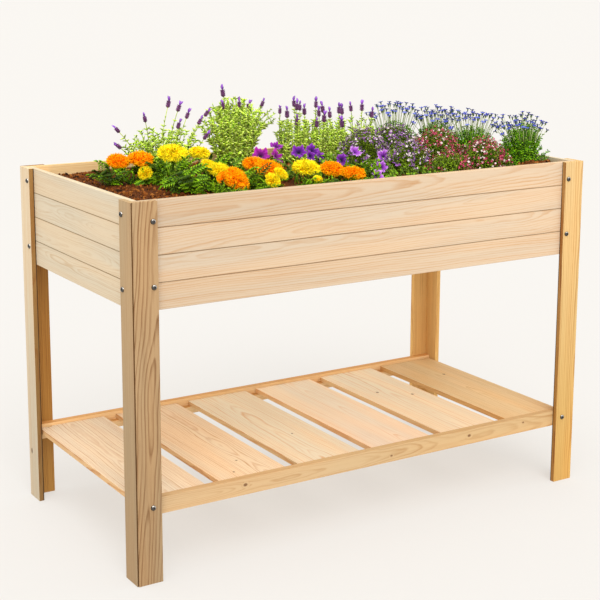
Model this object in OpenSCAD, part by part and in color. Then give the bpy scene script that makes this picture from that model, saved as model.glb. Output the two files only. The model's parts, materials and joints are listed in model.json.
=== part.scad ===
// Raised garden planter on four L-shaped legs, with a slatted storage shelf under the box.
// Origin: centre of the footprint, on the ground. +X along the length, +Y to the back, +Z up. Millimetres.

/* [Overall] */
// Length over the legs
length = 1210; // [1000:10:1400]
// Depth over the legs
depth = 612; // [500:4:700]
// Height of the legs and of the box rim
height = 813; // [700:1:900]

/* [Legs] */
// Width of each leg board, from the outer corner to its edge
leg_board_w = 58; // [52:1:70]
// Thickness of the leg boards
leg_board_t = 12; // [11:1:16]
// Width of the V groove along the mitred corner, on each face
corner_groove = 2; // [0.5:0.1:2.5]

/* [Box] */
// Boards stacked in each wall of the box
wall_boards = 4; // [3:1:4]
// Visible height of one wall board
board_h = 57; // [50:1:60]
// Thickness of the wall boards
board_t = 12; // [11:1:16]
// Chamfer along the outer edges of each wall board
board_chamfer = 1; // [0.4:0.1:1.5]
// Length of a corner post's side along X
post_x = 40; // [36:1:44]
// Length of a corner post's side along Y
post_y = 36; // [34:1:40]
// How far the top of a corner post stays under the rim
post_drop = 16; // [0:1:18]
// Width of the battens in the middle of the long walls
batten_w = 40; // [30:1:60]
// Thickness of those battens
batten_t = 18; // [12:1:20]

/* [Box floor] */
// Side of the square cleats that carry the floor
floor_cleat = 20; // [16:1:24]
// Number of floor slats
floor_slats = 6; // [4:1:6]
// Gap between two floor slats
floor_gap = 10; // [6:1:20]
// Thickness of every slat
slat_t = 12; // [10:1:15]

/* [Filling] */
// Thickness of the fabric liner
liner_t = 1.5; // [1:0.1:2]
// Depth of the soil surface under the rim
soil_drop = 23; // [15:1:60]

/* [Shelf] */
// Height of the top of the shelf slats
shelf_top = 176; // [150:1:300]
// How far the shelf rails stand above the slats
rail_lip = 7; // [3:1:10]
// Height of a shelf rail
rail_h = 37; // [34:1:44]
// Thickness of a shelf rail
rail_t = 18; // [16:1:22]
// Side of the square cleats under the slats
shelf_cleat = 17; // [12:1:18]
// Number of shelf slats
shelf_slats = 6; // [4:1:6]
// Gap between two shelf slats
shelf_gap = 34; // [15:1:50]

/* [Fasteners] */
// Thread diameter of all bolts
bolt_d = 6; // [5:1:6]
// Diameter of the button heads
bolt_head_d = 12; // [10:0.5:13]
// Height of the button heads
bolt_head_h = 3.6; // [3:0.1:4.5]
// Length of the box bolts under the head
box_bolt_len = 40; // [38:1:42]
// Length of the shelf bolts under the head
shelf_bolt_len = 35; // [35:1:38]

/* [Hidden] */
$fn = 48;

half_x = length / 2;
half_y = depth / 2;

// Box walls: the outer faces lie against the inner faces of the leg boards.
wall_x = half_x - leg_board_t;
wall_y = half_y - leg_board_t;
wall_in_x = wall_x - board_t;
wall_in_y = wall_y - board_t;
wall_h = wall_boards * board_h;
box_z = height - wall_h;

// Tongue and groove between two wall boards
tongue_t = 4;
tongue_h = 5;
groove_gap = 0.3;

// Floor of the box
floor_z = box_z + floor_cleat;
floor_top = floor_z + slat_t;
slat_gap_y = 1;
post_gap = 1;

// Liner and soil
liner_gap = 0.5;
liner_top = height - soil_drop - 4;
soil_top = height - soil_drop;

// Shelf
rail_top = shelf_top + rail_lip;
rail_z = rail_top - rail_h;
rail_in_y = wall_y - rail_t;
shelf_cleat_end = 48;
shelf_end_gap = 4;
notch_r = 9;

// Bolts: distance from the outer corner, and height. The two directions differ, so that the bolts miss
// each other inside the corner post.
face_bolt_in = 48;
side_bolt_in = 47;
shelf_bolt_in = 38;
face_bolt_z = [height - 41, box_z + 52];
side_bolt_z = [height - 29, box_z + 44];
shelf_bolt_drop = 15;
shelf_bolt_z = rail_top - shelf_bolt_drop;
hole_d = bolt_d + 0.6;
socket_af = 4;
socket_depth = 2;
insert_d = 9;
insert_len = 15;
insert_seat = 17;
thread_gap = 0.05;
nut_af = 10;
nut_h = 5;
past = 1;

// Each corner: its name and the side of X and of Y that it stands on
CORNERS = [["front_left", -1, -1], ["front_right", 1, -1], ["back_left", -1, 1], ["back_right", 1, 1]];
// The long walls, rails and cleats: their name and the side of Y
LONG_SIDES = [["front", -1], ["back", 1]];
// The short walls: their name and the side of X
SHORT_SIDES = [["left", -1], ["right", 1]];

// Plants: place in the bed, widest radius and height above the soil, for each clump
LAVENDER = [[-390, 180, 75, 160], [-230, 185, 70, 185], [-80, 180, 75, 190], [75, 185, 70, 165],
            [225, 180, 72, 150]];
MARIGOLDS = [[-492, 70, 54, 62], [-395, 35, 48, 72], [-375, -110, 60, 85], [-340, -228, 44, 50],
             [-240, -175, 62, 65], [-245, -30, 60, 60], [-115, -215, 55, 60], [5, -215, 58, 55]];
PETUNIAS = [[-120, -70, 55, 70], [0, -70, 55, 65], [105, -130, 55, 50], [85, 10, 46, 55]];
PINK_FLOWERS = [[190, 35, 58, 88], [305, 70, 58, 86], [218, -105, 56, 74], [345, -60, 62, 84],
                [262, -215, 50, 56], [385, -190, 58, 74]];
BLUE_FLOWERS = [[395, 195, 60, 128], [500, 150, 50, 125], [515, 22, 62, 132], [508, -200, 62, 128]];

// Puts what is drawn in the +X +Y quarter into the quarter of a corner.
module at_corner(c) {
    mirror([c[1] < 0 ? 1 : 0, 0, 0])
        mirror([0, c[2] < 0 ? 1 : 0, 0])
            children();
}

// Puts what is drawn on the +Y side onto a long side.
module at_long_side(s) {
    mirror([0, s[1] < 0 ? 1 : 0, 0]) children();
}

// A rod along -Y from the face y, for a bolt or a hole in the faces at the front and back
module rod_y(x, y, z, d, len) {
    translate([x, y, z]) rotate([90, 0, 0]) cylinder(d = d, h = len);
}

// A rod along -X from the face x, for a bolt or a hole in the faces at the ends
module rod_x(x, y, z, d, len) {
    translate([x, y, z]) rotate([0, -90, 0]) cylinder(d = d, h = len);
}

// Bolt holes of one corner: through the leg boards and the walls, and into the post
module box_bolt_holes() {
    for (z = face_bolt_z)
        rod_y(half_x - face_bolt_in, half_y + past, z, hole_d, leg_board_t + board_t + 2 * past);
    for (z = side_bolt_z)
        rod_x(half_x + past, half_y - side_bolt_in, z, hole_d, leg_board_t + board_t + 2 * past);
}

module insert_seats() {
    for (z = face_bolt_z)
        rod_y(half_x - face_bolt_in, wall_in_y + past, z, insert_d, insert_seat + past);
    for (z = side_bolt_z)
        rod_x(wall_in_x + past, half_y - side_bolt_in, z, insert_d, insert_seat + past);
}

module shelf_bolt_hole() {
    rod_y(half_x - shelf_bolt_in, half_y + past, shelf_bolt_z, hole_d, leg_board_t + rail_t + 2 * past);
}

// Leg board that faces the front or the back, mitred at the outer corner
module leg_face_board(c) {
    color("burlywood")
        at_corner(c)
            difference() {
                linear_extrude(height)
                    polygon([
                        [half_x - leg_board_w, half_y],
                        [half_x - leg_board_w, half_y - leg_board_t],
                        [half_x - leg_board_t, half_y - leg_board_t],
                        [half_x - 2 * corner_groove, half_y - 2 * corner_groove],
                        [half_x - corner_groove, half_y]
                    ]);
                box_bolt_holes();
                shelf_bolt_hole();
            }
}

// Leg board that faces the end, mitred at the outer corner
module leg_side_board(c) {
    color("navajowhite")
        at_corner(c)
            difference() {
                linear_extrude(height)
                    polygon([
                        [half_x, half_y - leg_board_w],
                        [half_x, half_y - corner_groove],
                        [half_x - 2 * corner_groove, half_y - 2 * corner_groove],
                        [half_x - leg_board_t, half_y - leg_board_t],
                        [half_x - leg_board_t, half_y - leg_board_w]
                    ]);
                box_bolt_holes();
            }
}

// Section of wall board i: thickness inwards along X, height along Y. Every board but the top one has
// a tongue, and every board but the bottom one has a groove.
module board_section(i) {
    near = (board_t - tongue_t) / 2;
    far = near + tongue_t;
    tongue = [[near, board_h], [near, board_h + tongue_h], [far, board_h + tongue_h], [far, board_h]];
    groove_top = tongue_h + groove_gap;
    groove = [
        [far + groove_gap, 0], [far + groove_gap, groove_top],
        [near - groove_gap, groove_top], [near - groove_gap, 0]
    ];
    polygon(concat(
        [[board_chamfer, 0], [0, board_chamfer], [0, board_h - board_chamfer], [board_chamfer, board_h]],
        i < wall_boards ? tongue : [],
        [[board_t, board_h], [board_t, 0]],
        i > 1 ? groove : []
    ));
}

module long_board(s, i) {
    color("wheat")
        difference() {
            at_long_side(s)
                translate([-wall_x, wall_y, box_z + (i - 1) * board_h])
                    rotate([90, 0, 90])
                        mirror([1, 0, 0])
                            linear_extrude(2 * wall_x) board_section(i);
            for (c = CORNERS)
                at_corner(c) box_bolt_holes();
        }
}

module short_board(s, i) {
    color("wheat")
        difference() {
            mirror([s[1] < 0 ? 1 : 0, 0, 0])
                translate([wall_x, wall_in_y, box_z + (i - 1) * board_h])
                    rotate([90, 0, 0])
                        mirror([1, 0, 0])
                            linear_extrude(2 * wall_in_y) board_section(i);
            for (c = CORNERS)
                at_corner(c) box_bolt_holes();
        }
}

// Post inside a corner of the box: the bolts of both leg boards pull it outwards
module corner_post(c) {
    color("peru")
        at_corner(c)
            difference() {
                translate([wall_in_x - post_x, wall_in_y - post_y, box_z])
                    cube([post_x, post_y, wall_h - post_drop]);
                insert_seats();
            }
}

// Batten that ties the boards of a long wall together at the middle
module wall_batten(s) {
    color("peru")
        at_long_side(s)
            translate([-batten_w / 2, wall_in_y - batten_t, floor_top])
                cube([batten_w, batten_t, liner_top - floor_top]);
}

module box_floor_cleat(s) {
    cleat_len = 2 * (wall_in_x - post_x);
    color("peru")
        at_long_side(s)
            translate([-cleat_len / 2, wall_in_y - floor_cleat, box_z])
                cube([cleat_len, floor_cleat, floor_cleat]);
}

// Floor slat across the box. The outer ones are notched around the corner posts.
module floor_slat(i) {
    run = 2 * (wall_in_x - slat_gap_y);
    slat_w = (run - (floor_slats - 1) * floor_gap) / floor_slats;
    slat_len = 2 * (wall_in_y - slat_gap_y);
    color("tan")
        difference() {
            translate([-run / 2 + (i - 1) * (slat_w + floor_gap), -slat_len / 2, floor_z])
                cube([slat_w, slat_len, slat_t]);
            for (c = CORNERS)
                at_corner(c)
                    translate([wall_in_x - post_x - post_gap, wall_in_y - post_y - post_gap, floor_z - past])
                        cube([post_x + 2 * post_gap, post_y + 2 * post_gap, slat_t + 2 * past]);
        }
}

// Plan of the planting space, inset from the walls, the corner posts and the battens
module bed_outline(inset) {
    difference() {
        square([2 * (wall_in_x - inset), 2 * (wall_in_y - inset)], center = true);
        for (c = CORNERS)
            at_corner(c)
                translate([wall_in_x - post_x - inset, wall_in_y - post_y - inset])
                    square([post_x + inset, post_y + inset]);
        for (s = LONG_SIDES)
            at_long_side(s)
                translate([-batten_w / 2 - inset, wall_in_y - batten_t - inset])
                    square([batten_w + 2 * inset, batten_t + inset]);
    }
}

module liner() {
    color("dimgray")
        difference() {
            translate([0, 0, floor_top])
                linear_extrude(liner_top - floor_top) bed_outline(liner_gap);
            translate([0, 0, floor_top + liner_t])
                linear_extrude(liner_top) bed_outline(liner_gap + liner_t);
        }
}

module soil() {
    color("saddlebrown")
        translate([0, 0, floor_top + liner_t])
            linear_extrude(soil_top - floor_top - liner_t) bed_outline(liner_gap + liner_t);
}

// Rail between the legs: it stands behind the leg boards, a little higher than the slats
module shelf_rail(s) {
    color("sandybrown")
        at_long_side(s)
            difference() {
                translate([-wall_x, rail_in_y, rail_z])
                    cube([2 * wall_x, rail_t, rail_h]);
                for (side = [0, 1])
                    mirror([side, 0, 0]) shelf_bolt_hole();
            }
}

module shelf_cleat_bar(s) {
    cleat_len = 2 * (wall_x - shelf_cleat_end);
    color("peru")
        at_long_side(s)
            translate([-cleat_len / 2, rail_in_y - shelf_cleat, shelf_top - slat_t - shelf_cleat])
                cube([cleat_len, shelf_cleat, shelf_cleat]);
}

// Shelf slat from rail to rail. The outer ones are notched around the shelf nuts.
module shelf_slat(i) {
    run = 2 * (wall_x - shelf_end_gap);
    slat_w = (run - (shelf_slats - 1) * shelf_gap) / shelf_slats;
    slat_len = 2 * (rail_in_y - slat_gap_y);
    color("bisque")
        difference() {
            translate([-run / 2 + (i - 1) * (slat_w + shelf_gap), -slat_len / 2, shelf_top - slat_t])
                cube([slat_w, slat_len, slat_t]);
            for (c = CORNERS)
                at_corner(c)
                    translate([half_x - shelf_bolt_in, slat_len / 2, shelf_top - slat_t - past])
                        cylinder(r = notch_r, h = slat_t + 2 * past);
        }
}

// Button-head bolt along +Z: the head sits on z = 0 and the shank runs down from there
module button_bolt(len) {
    head_r = bolt_head_d / 2;
    flat_r = socket_af * 0.7;
    arc = [for (a = [0:15:90]) [flat_r + (head_r - flat_r) * cos(a), bolt_head_h * sin(a)]];
    difference() {
        union() {
            rotate_extrude() polygon(concat([[0, 0]], arc, [[0, bolt_head_h]]));
            translate([0, 0, -len]) cylinder(d = bolt_d, h = len + bolt_head_h / 2);
        }
        translate([0, 0, bolt_head_h - socket_depth])
            cylinder(d = socket_af / cos(30), h = socket_depth + past, $fn = 6);
    }
}

module box_bolts() {
    color("silver")
        for (c = CORNERS)
            at_corner(c) {
                for (z = face_bolt_z)
                    translate([half_x - face_bolt_in, half_y, z]) rotate([-90, 0, 0]) button_bolt(box_bolt_len);
                for (z = side_bolt_z)
                    translate([half_x, half_y - side_bolt_in, z]) rotate([0, 90, 0]) button_bolt(box_bolt_len);
            }
}

// Threaded insert: a round sleeve along -Z from z = 0
module threaded_insert() {
    translate([0, 0, -insert_len])
        difference() {
            cylinder(d = insert_d, h = insert_len);
            translate([0, 0, -past]) cylinder(d = bolt_d + 2 * thread_gap, h = insert_len + 2 * past);
        }
}

module box_inserts() {
    color("gold")
        for (c = CORNERS)
            at_corner(c) {
                for (z = face_bolt_z)
                    translate([half_x - face_bolt_in, wall_in_y, z]) rotate([-90, 0, 0]) threaded_insert();
                for (z = side_bolt_z)
                    translate([wall_in_x, half_y - side_bolt_in, z]) rotate([0, 90, 0]) threaded_insert();
            }
}

module shelf_bolts() {
    color("silver")
        for (c = CORNERS)
            at_corner(c)
                translate([half_x - shelf_bolt_in, half_y, shelf_bolt_z])
                    rotate([-90, 0, 0]) button_bolt(shelf_bolt_len);
}

module shelf_nuts() {
    color("silver")
        for (c = CORNERS)
            at_corner(c)
                translate([half_x - shelf_bolt_in, rail_in_y, shelf_bolt_z])
                    rotate([90, 0, 0])
                        difference() {
                            cylinder(d = nut_af / cos(30), h = nut_h, $fn = 6);
                            translate([0, 0, -past])
                                cylinder(d = bolt_d + 2 * thread_gap, h = nut_h + 2 * past);
                        }
}

// Solid stand-in for one clump of plants: a round bush that is narrower where it meets the soil
module clump(p) {
    r = p[2];
    h = p[3];
    foot = 0.55;
    waist = 0.35;
    dome = [for (a = [0:15:90]) [r * cos(a), h * (waist + (1 - waist) * sin(a))]];
    translate([p[0], p[1], soil_top])
        rotate_extrude()
            polygon(concat([[0, 0], [foot * r, 0]], dome));
}

module clumps(places, tint) {
    color(tint)
        for (p = places) clump(p);
}

for (c = CORNERS) {
    leg_face_board(c);
    leg_side_board(c);
    corner_post(c);
}
for (s = LONG_SIDES) {
    for (i = [1:wall_boards])
        long_board(s, i);
    wall_batten(s);
    box_floor_cleat(s);
    shelf_rail(s);
    shelf_cleat_bar(s);
}
for (s = SHORT_SIDES)
    for (i = [1:wall_boards])
        short_board(s, i);
for (i = [1:floor_slats])
    floor_slat(i);
for (i = [1:shelf_slats])
    shelf_slat(i);
liner();
soil();
box_bolts();
box_inserts();
shelf_bolts();
shelf_nuts();
clumps(LAVENDER, "mediumpurple");  // lavender_plants
clumps(MARIGOLDS, "orange");  // marigold_plants
clumps(PETUNIAS, "purple");  // petunia_plants
clumps(PINK_FLOWERS, "hotpink");  // pink_flower_plants
clumps(BLUE_FLOWERS, "royalblue");  // blue_flower_plants
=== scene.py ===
"""Looks of the raised planter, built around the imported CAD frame.

Metres, +Z up, in the CAD's own frame: +X along the box, +Y to the back, the ground at z = 0. The places of the
plants are given in millimetres from the middle of the soil's surface.
"""

import json
import math

import bmesh
import bpy
import numpy as np
from mathutils import Matrix, Vector, noise

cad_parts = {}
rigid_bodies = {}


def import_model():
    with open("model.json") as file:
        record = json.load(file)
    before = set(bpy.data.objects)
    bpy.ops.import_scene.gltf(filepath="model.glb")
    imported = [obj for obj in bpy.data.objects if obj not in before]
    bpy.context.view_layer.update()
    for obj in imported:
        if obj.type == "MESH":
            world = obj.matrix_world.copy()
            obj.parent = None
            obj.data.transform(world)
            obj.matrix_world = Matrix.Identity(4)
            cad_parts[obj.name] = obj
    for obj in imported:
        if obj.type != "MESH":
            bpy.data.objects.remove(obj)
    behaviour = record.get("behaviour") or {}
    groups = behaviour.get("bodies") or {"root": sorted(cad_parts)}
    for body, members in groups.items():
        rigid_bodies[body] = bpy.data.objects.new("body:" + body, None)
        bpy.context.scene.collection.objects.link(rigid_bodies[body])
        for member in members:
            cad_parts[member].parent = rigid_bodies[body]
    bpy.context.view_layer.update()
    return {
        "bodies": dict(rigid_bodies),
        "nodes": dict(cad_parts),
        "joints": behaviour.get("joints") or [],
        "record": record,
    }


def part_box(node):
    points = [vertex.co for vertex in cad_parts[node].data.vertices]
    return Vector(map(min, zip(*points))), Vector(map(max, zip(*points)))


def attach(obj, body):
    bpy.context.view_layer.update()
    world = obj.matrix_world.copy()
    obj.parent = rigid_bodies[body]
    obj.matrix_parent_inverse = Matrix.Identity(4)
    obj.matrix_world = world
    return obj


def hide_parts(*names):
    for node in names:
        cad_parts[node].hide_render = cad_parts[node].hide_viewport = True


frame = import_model()

NODES = frame["nodes"]
CORNERS = ("front_left", "front_right", "back_left", "back_right")
MM = 0.001
GOLDEN_ANGLE = math.radians(137.5)
rng = np.random.default_rng(20)


# ---------------------------------------------------------------- colours and shader graphs

def srgb(tint, gain=1.0):
    """A colour of 0 to 255 as a linear shader colour, made brighter or darker by gain."""
    shares = (v / 255 for v in tint)
    linear = (v / 12.92 if v <= 0.04045 else ((v + 0.055) / 1.055) ** 2.4 for v in shares)
    return (*(min(1.0, v * gain) for v in linear), 1.0)


class Graph:
    """A new material, and short calls that add nodes to it. An input is a number, a tuple or another socket."""

    def __init__(self, name, **uniform):
        self.material = bpy.data.materials.new(name)
        self.material.use_nodes = True
        self.tree = self.material.node_tree
        self.shader = self.tree.nodes["Principled BSDF"]
        for key, value in uniform.items():
            self.shader.inputs[key.replace("_", " ")].default_value = value

    def put(self, socket, value):
        if isinstance(value, bpy.types.NodeSocket):
            self.tree.links.new(value, socket)
        else:
            socket.default_value = value

    def node(self, kind, inputs=(), **settings):
        """A new node with its settings, and its inputs in order or by name or number."""
        made = self.tree.nodes.new("ShaderNode" + kind)
        for key, value in settings.items():
            setattr(made, key, value)
        for key, value in inputs.items() if isinstance(inputs, dict) else enumerate(inputs):
            self.put(made.inputs[key], value)
        return made

    def math(self, operation, *values, clamp=False):
        return self.node("Math", values, operation=operation, use_clamp=clamp).outputs[0]

    def add(self, a, b):
        return self.math("ADD", a, b)

    def sub(self, a, b):
        return self.math("SUBTRACT", a, b)

    def mul(self, a, b):
        return self.math("MULTIPLY", a, b)

    def muladd(self, a, b, c, clamp=False):
        return self.math("MULTIPLY_ADD", a, b, c, clamp=clamp)

    def hypot(self, a, b):
        return self.math("SQRT", self.add(self.math("POWER", a, 2.0), self.math("POWER", b, 2.0)))

    def vector(self, operation, a, b):
        return self.node("VectorMath", (a, b), operation=operation).outputs["Vector"]

    def split(self, vector):
        return list(self.node("SeparateXYZ", (vector,)).outputs)

    def join(self, x, y, z):
        return self.node("CombineXYZ", (x, y, z)).outputs[0]

    def mix(self, factor, a, b, blend="MIX"):
        return self.node("Mix", {0: factor, 6: a, 7: b}, data_type="RGBA", blend_type=blend).outputs[2]

    def tinted(self, factor, colour, tint):
        """The colour multiplied by a tint where the factor is 1."""
        return self.mix(factor, colour, self.mix(1.0, colour, tint, "MULTIPLY"))

    def smooth(self, value, start, end, low=0.0, high=1.0):
        inputs = {"Value": value, "From Min": start, "From Max": end, "To Min": low, "To Max": high}
        return self.node("MapRange", inputs, interpolation_type="SMOOTHSTEP").outputs[0]

    def noise(self, vector, scale=1.0, detail=2.0, roughness=0.5):
        inputs = {"Vector": vector, "Scale": scale, "Detail": detail, "Roughness": roughness}
        return self.node("TexNoise", inputs).outputs["Fac"]

    def ramp(self, value, stops):
        made = self.node("ValToRGB", (value,))
        points = made.color_ramp.elements
        while len(points) < len(stops):
            points.new(0.5)
        for point, (place, colour) in zip(points, stops):
            point.position = place
            point.color = colour
        return made.outputs[0]

    def tints(self, value, stops):
        """A ramp of colours of 0 to 255."""
        return self.ramp(value, [(place, srgb(tint)) for place, tint in stops])

    def here(self):
        return self.node("TexCoord").outputs["Object"]

    def normal(self):
        return self.node("NewGeometry").outputs["Normal"]

    def attribute(self, name):
        return self.node("Attribute", attribute_name=name).outputs["Fac"]

    def surface(self, colour, relief, roughness, spread, bump, depth, height=None):
        """Wires up the shader and returns the material.

        The relief varies the roughness by spread. It, or the height if that is given, bumps the surface by depth
        millimetres.
        """
        inputs = {"Height": relief if height is None else height, "Strength": bump, "Distance": depth * MM}
        self.put(self.shader.inputs["Base Color"], colour)
        self.put(self.shader.inputs["Roughness"], self.muladd(relief, spread, roughness))
        self.put(self.shader.inputs["Normal"], self.node("Bump", inputs).outputs[0])
        return self.material


# ---------------------------------------------------------------- objects

def add_object(name, data):
    obj = bpy.data.objects.new(name, data)
    bpy.context.scene.collection.objects.link(obj)
    return obj


def add_piece(name, mesh, material):
    """A mesh as a piece that rides on the planter."""
    obj = add_object(name, mesh)
    mesh.materials.append(material)
    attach(obj, "root")
    return obj


def add_modifier(obj, kind, **settings):
    made = obj.modifiers.new(kind.lower(), kind)
    for key, value in settings.items():
        setattr(made, key, value)


def shade_smooth(mesh, flags):
    mesh.polygons.foreach_set("use_smooth", flags)


def dress(node, material):
    """Gives a CAD node its material."""
    slots = NODES[node].data.materials
    slots.clear()
    slots.append(material)


# ---------------------------------------------------------------- wood

WOOD_GAIN = 0.80
# How far the rings sway, are pulled by a knot and ripple, in metres, and how unevenly they are spaced
WANDER, KNOT_PULL, RIPPLE, UNEVEN = 0.02, 0.011, 0.0035, 1.6
STREAKS, FIBRES = 0.9, 0.55
# Noises, as the length of their grain along the board and its width across it, in metres
SWAY_GRAINS, RIPPLE_GRAIN = ((0.35, 0.12), (0.22, 0.09)), (0.06, 0.014)
STREAK_GRAIN, FIBRE_GRAIN = (0.25, 0.005), (0.03, 0.0011)
DRIFT_GRAIN, BREAKUP_GRAIN = (0.5, 0.05), (0.01, 0.004)
LATE_WOOD = [(0.0, (0, 0, 0, 1)), (0.45, (0.1, 0.1, 0.1, 1)), (0.84, (1, 1, 1, 1)), (1.0, (0, 0, 0, 1))]
# Knot colours, and the near-black of the painted shade in a shadow gap
KNOT_CORE, KNOT_OUTLINE, GAP_SHADE = (112, 68, 34), (84, 48, 24), (52, 30, 12)
# Tints that multiply the colour
WARM_DRIFT, COOL_DRIFT = (1.04, 0.99, 0.93, 1), (0.96, 0.99, 1.02, 1)
# The seam tint is painted shade along the joints between wall boards; the arris tint is a painted highlight.
SEAM_SHADE, ARRIS_HIGHLIGHT = (0.42, 0.34, 0.24, 1), (1.12, 1.08, 1.0, 1)
PALE_EDGE, SAWN_EDGE, SHADED_EDGE = (1.10, 1.08, 0.98, 1), (0.84, 0.66, 0.44, 1), (0.46, 0.32, 0.20, 1)


def family(light, dark, spacing, contrast, edge=PALE_EDGE, end=PALE_EDGE, **more):
    """A family of boards: colour between the rings and in them, ring spacing, contrast, and side tints."""
    return dict(light=light, dark=dark, spacing=spacing, contrast=contrast, edge=edge, end=end, **more)


CREAM = family((227, 203, 174), (208, 158, 108), 0.0042, 0.70)
PALE = family((242, 225, 196), (218, 184, 140), 0.0036, 0.6)
# The darker edge tints of GOLD and TAN are painted shade on the narrow edges of the front legs' boards.
GOLD = family((240, 204, 143), (202, 147, 80), 0.0055, 1.1, edge=(0.58, 0.44, 0.30, 1))
TAN = family((192, 158, 116), (132, 90, 50), 0.0090, 1.0, edge=SHADED_EDGE)
INSIDE = family((240, 196, 126), (196, 140, 76), 0.0042, 0.9)
BROWN = family((174, 126, 60), (128, 82, 31), 0.0045, 0.8, edge=SAWN_EDGE)
RAIL = family((250, 212, 158), (214, 164, 106), 0.0040, 0.6, edge=SAWN_EDGE, end=SAWN_EDGE)
# The slats are paler than the other boards: painted light, so that the shelf under the box looks brightly lit.
SLAT = family((255, 244, 214), (244, 196, 146), 0.0036, 0.75, edge=SAWN_EDGE, end=SAWN_EDGE, gain=0.88)

# The family of each board, by how its name starts; the longest start that fits counts
FAMILIES = {
    # The left boards take a darker copy of the pale wood than the right boards: painted shade on that end.
    "front_board": CREAM, "left_board": dict(PALE, gain=0.765), "right_board": PALE,
    "back_board": dict(CREAM, light=(255, 223, 168), dark=(226, 178, 116), gain=0.86),
    "leg_front_left_face": TAN,
    "leg_front_left_side": dict(TAN, light=(198, 168, 127), dark=(162, 121, 79), spacing=0.003, contrast=0.6),
    # The back left leg's face board is dark brown: partly its own tone, partly painted shade from the space under
    # the box.
    "leg_front_right": GOLD, "leg_back_left_face": BROWN, "leg_back_right": INSIDE,
    # The side board's dark edge tint is painted shade on its narrow edge that faces the front.
    "leg_back_left_side": dict(PALE, light=(242, 226, 196), dark=(222, 178, 128), contrast=0.9,
                               edge=(0.40, 0.26, 0.11, 1)),
    "post": RAIL, "batten": RAIL, "floor_cleat": RAIL, "floor_slat": SLAT,
    "shelf_rail_front": dict(RAIL, light=(224, 187, 138), dark=(194, 146, 92), edge=(1.0, 0.95, 0.86, 1),
                             fade=((0.94, 0.98, 1.06, 1), (1.0, 0.97, 0.90, 1))),
    "shelf_rail_back": dict(RAIL, gain=0.88), "shelf_cleat": RAIL, "shelf_slat": SLAT,
}


def board(pith, tilt, **more):
    """What sets one board apart: its pith across and through it, that pith's lean, and more."""
    return dict(pith=pith, tilt=tilt, **more)


BOARDS = {
    "front_board_4": board((0.010, -0.028), (-0.035, 0.030), spacing=0.005, contrast=0.85, fade=(0.86, 1.05)),
    "front_board_3": board((-0.004, -0.020), (-0.050, -0.022), wander=0.018, fade=(0.95, 1.05)),
    "front_board_2": board((0.020, -0.026), (-0.012, 0.014), fade=(0.95, 1.05)),
    "front_board_1": board((-0.055, -0.012), (0.006, 0.010), wander=0.014, spacing=0.005, contrast=0.8,
                           fade=(0.90, 1.04)),
    "left_board_4": board((0.050, -0.030), (0.0, 0.02)),
    "left_board_3": board((0.0, -0.018), (0.0, 0.05), wander=0.03),
    "left_board_2": board((-0.010, -0.022), (0.02, -0.03), wander=0.03),
    "left_board_1": board((0.006, -0.014), (0.0, 0.04), wander=0.03, contrast=0.8),
    "leg_front_left_face": board((0.012, -0.018), (-0.075, 0.034), wander=0.045, fade=(0.84, 1.04)),
    "leg_front_left_side": board((0.060, -0.010), (0.006, 0.0), fade=(0.84, 1.06)),
    "leg_front_right_face": board((0.030, -0.020), (0.008, 0.006), gap=1, fade=((0.86, 0.74, 0.46, 1), 1)),
    "leg_back_left_side": board((0.045, -0.012), (0.004, 0.003), wander=0.015, fade=(0.78, 1.02), gap=1,
                                knots=((-0.29, 0.012, 0.004),)),
    "leg_back_left_face": dict(knots=((-0.26, 0.006, 0.004),), fade=(1.3, 0.95)),
    "leg_back_right_face": board((0.040, -0.012), (0.004, 0.004), wander=0.015),
    "leg_back_right_side": board((-0.040, -0.012), (0.004, 0.004), wander=0.015),
    "shelf_rail_front": dict(pith=(0.0, -0.03), contrast=0.85,
                             knots=((-0.34, 0.004, 0.003), (0.05, -0.004, 0.002), (0.28, 0.003, 0.0028),
                                    (0.45, 0.006, 0.0018))),
    "shelf_slat_1": dict(light=(248, 226, 196), dark=(210, 162, 116), contrast=1.0),
    "shelf_slat_2": board((0.030, -0.020), (0.012, 0.012), light=(252, 222, 184), dark=(216, 162, 112),
                          contrast=1.0, knots=((-0.17, 0.01, 0.002), (-0.23, -0.03, 0.002))),
    "shelf_slat_3": dict(light=(254, 236, 204), dark=(236, 184, 130), contrast=0.9,
                         knots=((-0.08, 0.012, 0.002),), fade=((0.88, 0.87, 0.87, 1), 1)),
    "shelf_slat_4": dict(light=(255, 236, 208), dark=(240, 196, 152), contrast=0.9, spacing=0.005, gain=0.94,
                         fade=((0.82, 0.77, 0.77, 1), 1)),
    "shelf_slat_5": dict(light=(255, 238, 208), dark=(240, 192, 142), contrast=0.9, spacing=0.005, gain=0.91,
                         knots=((0.08, -0.03, 0.003), (0.02, 0.04, 0.003)), fade=((0.86, 0.80, 0.75, 1), 1)),
    "shelf_slat_6": dict(light=(236, 200, 148), dark=(198, 150, 94), knots=((0.12, 0.02, 0.003),)),
}


def knot_fields(g, along, across, knots):
    """How far the rings are bent by the knots, and how much of the surface is knot and knot's outline."""
    bend, core, outline = 0.0, 0.0, 0.0
    for place_along, place_across, radius in knots:
        oval = g.mul(g.sub(along, place_along), 0.7)
        away = g.hypot(oval, g.sub(across, place_across))
        bend = g.math("MAXIMUM", bend, g.smooth(away, 3.0 * radius, 0.0))
        core = g.math("MAXIMUM", core, g.smooth(away, radius, 0.7 * radius))
        rim = g.math("ABSOLUTE", g.sub(away, radius))
        outline = g.math("MAXIMUM", outline, g.smooth(rim, 0.5 * radius, 0.0))
    return bend, core, outline


def seam_heights(node):
    """Heights of the joints above and below a wall board, where shade is painted along the seam."""
    wall, _, number = node.partition("_board_")
    if not number:
        return []
    return [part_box(f"{wall}_board_{i}")[0].z for i in (int(number), int(number) + 1) if 1 < i <= 4]


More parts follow.
